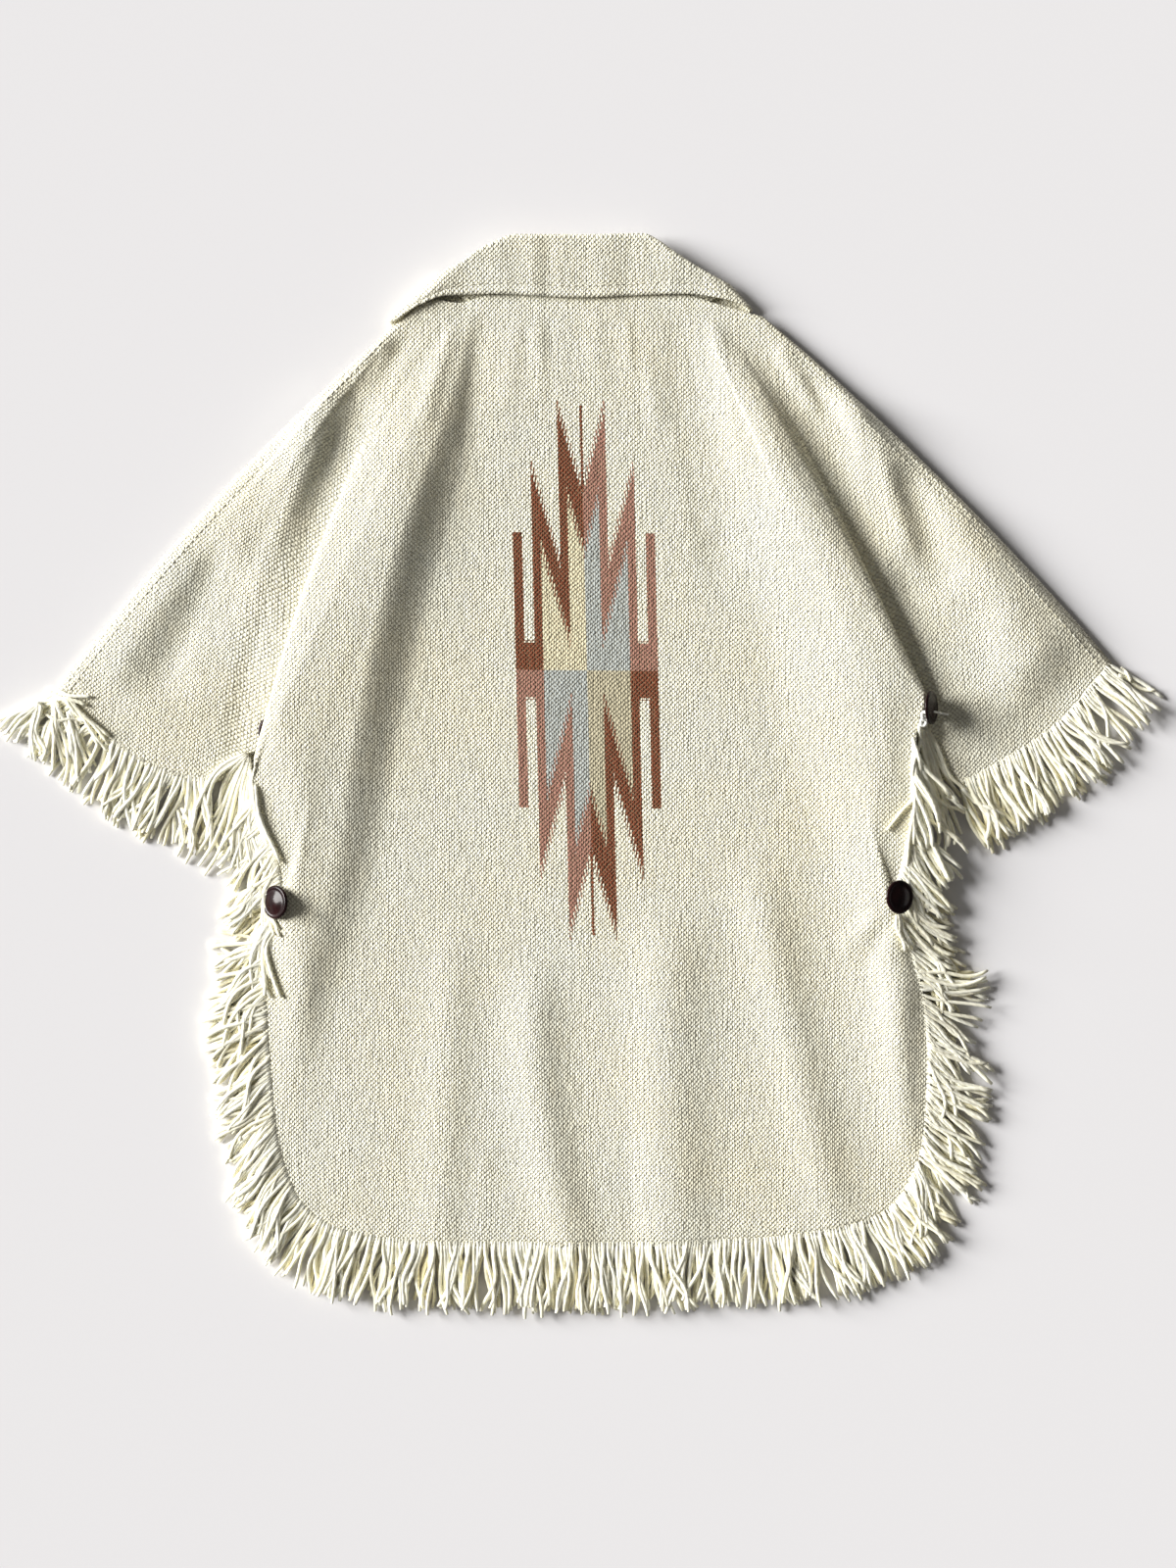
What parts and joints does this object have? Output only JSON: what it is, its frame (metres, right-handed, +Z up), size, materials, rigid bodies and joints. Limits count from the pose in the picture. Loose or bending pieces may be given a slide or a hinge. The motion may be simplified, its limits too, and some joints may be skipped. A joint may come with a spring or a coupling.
{
  "type": "cape jacket",
  "caption": "Handwoven wool cape jacket with kimono sleeves, a turned-over collar, buttoned sides and yarn fringe, laid flat with its back uppermost.",
  "frame": {"origin": "middle of the bounding box on the surface the jacket lies on", "axes": "+Z up away from that surface, +Y from hem to collar, +X to the viewer's right with the back uppermost"},
  "size_m": [0.851, 0.7972, 0.0333],
  "materials": {
    "wool_cloth": "weft-faced handwoven wool, matte",
    "wool_fringe": "twisted wool yarn, matte",
    "dark_button": "dark polished horn-like button"
  },
  "bodies": {
    "root": {"back_panel": "wool_cloth", "front_left": "wool_cloth", "front_right": "wool_cloth", "collar": "wool_cloth", "button_left_upper": "dark_button", "button_left_lower": "dark_button", "button_right_upper": "dark_button", "button_right_lower": "dark_button", "fringe_back_left_side": "wool_fringe", "fringe_back_hem": "wool_fringe", "fringe_back_right_side": "wool_fringe", "fringe_back_left_sleeve": "wool_fringe", "fringe_back_right_sleeve": "wool_fringe", "fringe_front_left_sleeve": "wool_fringe", "fringe_front_left_side": "wool_fringe", "fringe_front_left_hem": "wool_fringe", "fringe_front_right_sleeve": "wool_fringe", "fringe_front_right_side": "wool_fringe", "fringe_front_right_hem": "wool_fringe"}
  },
  "joints": []
}
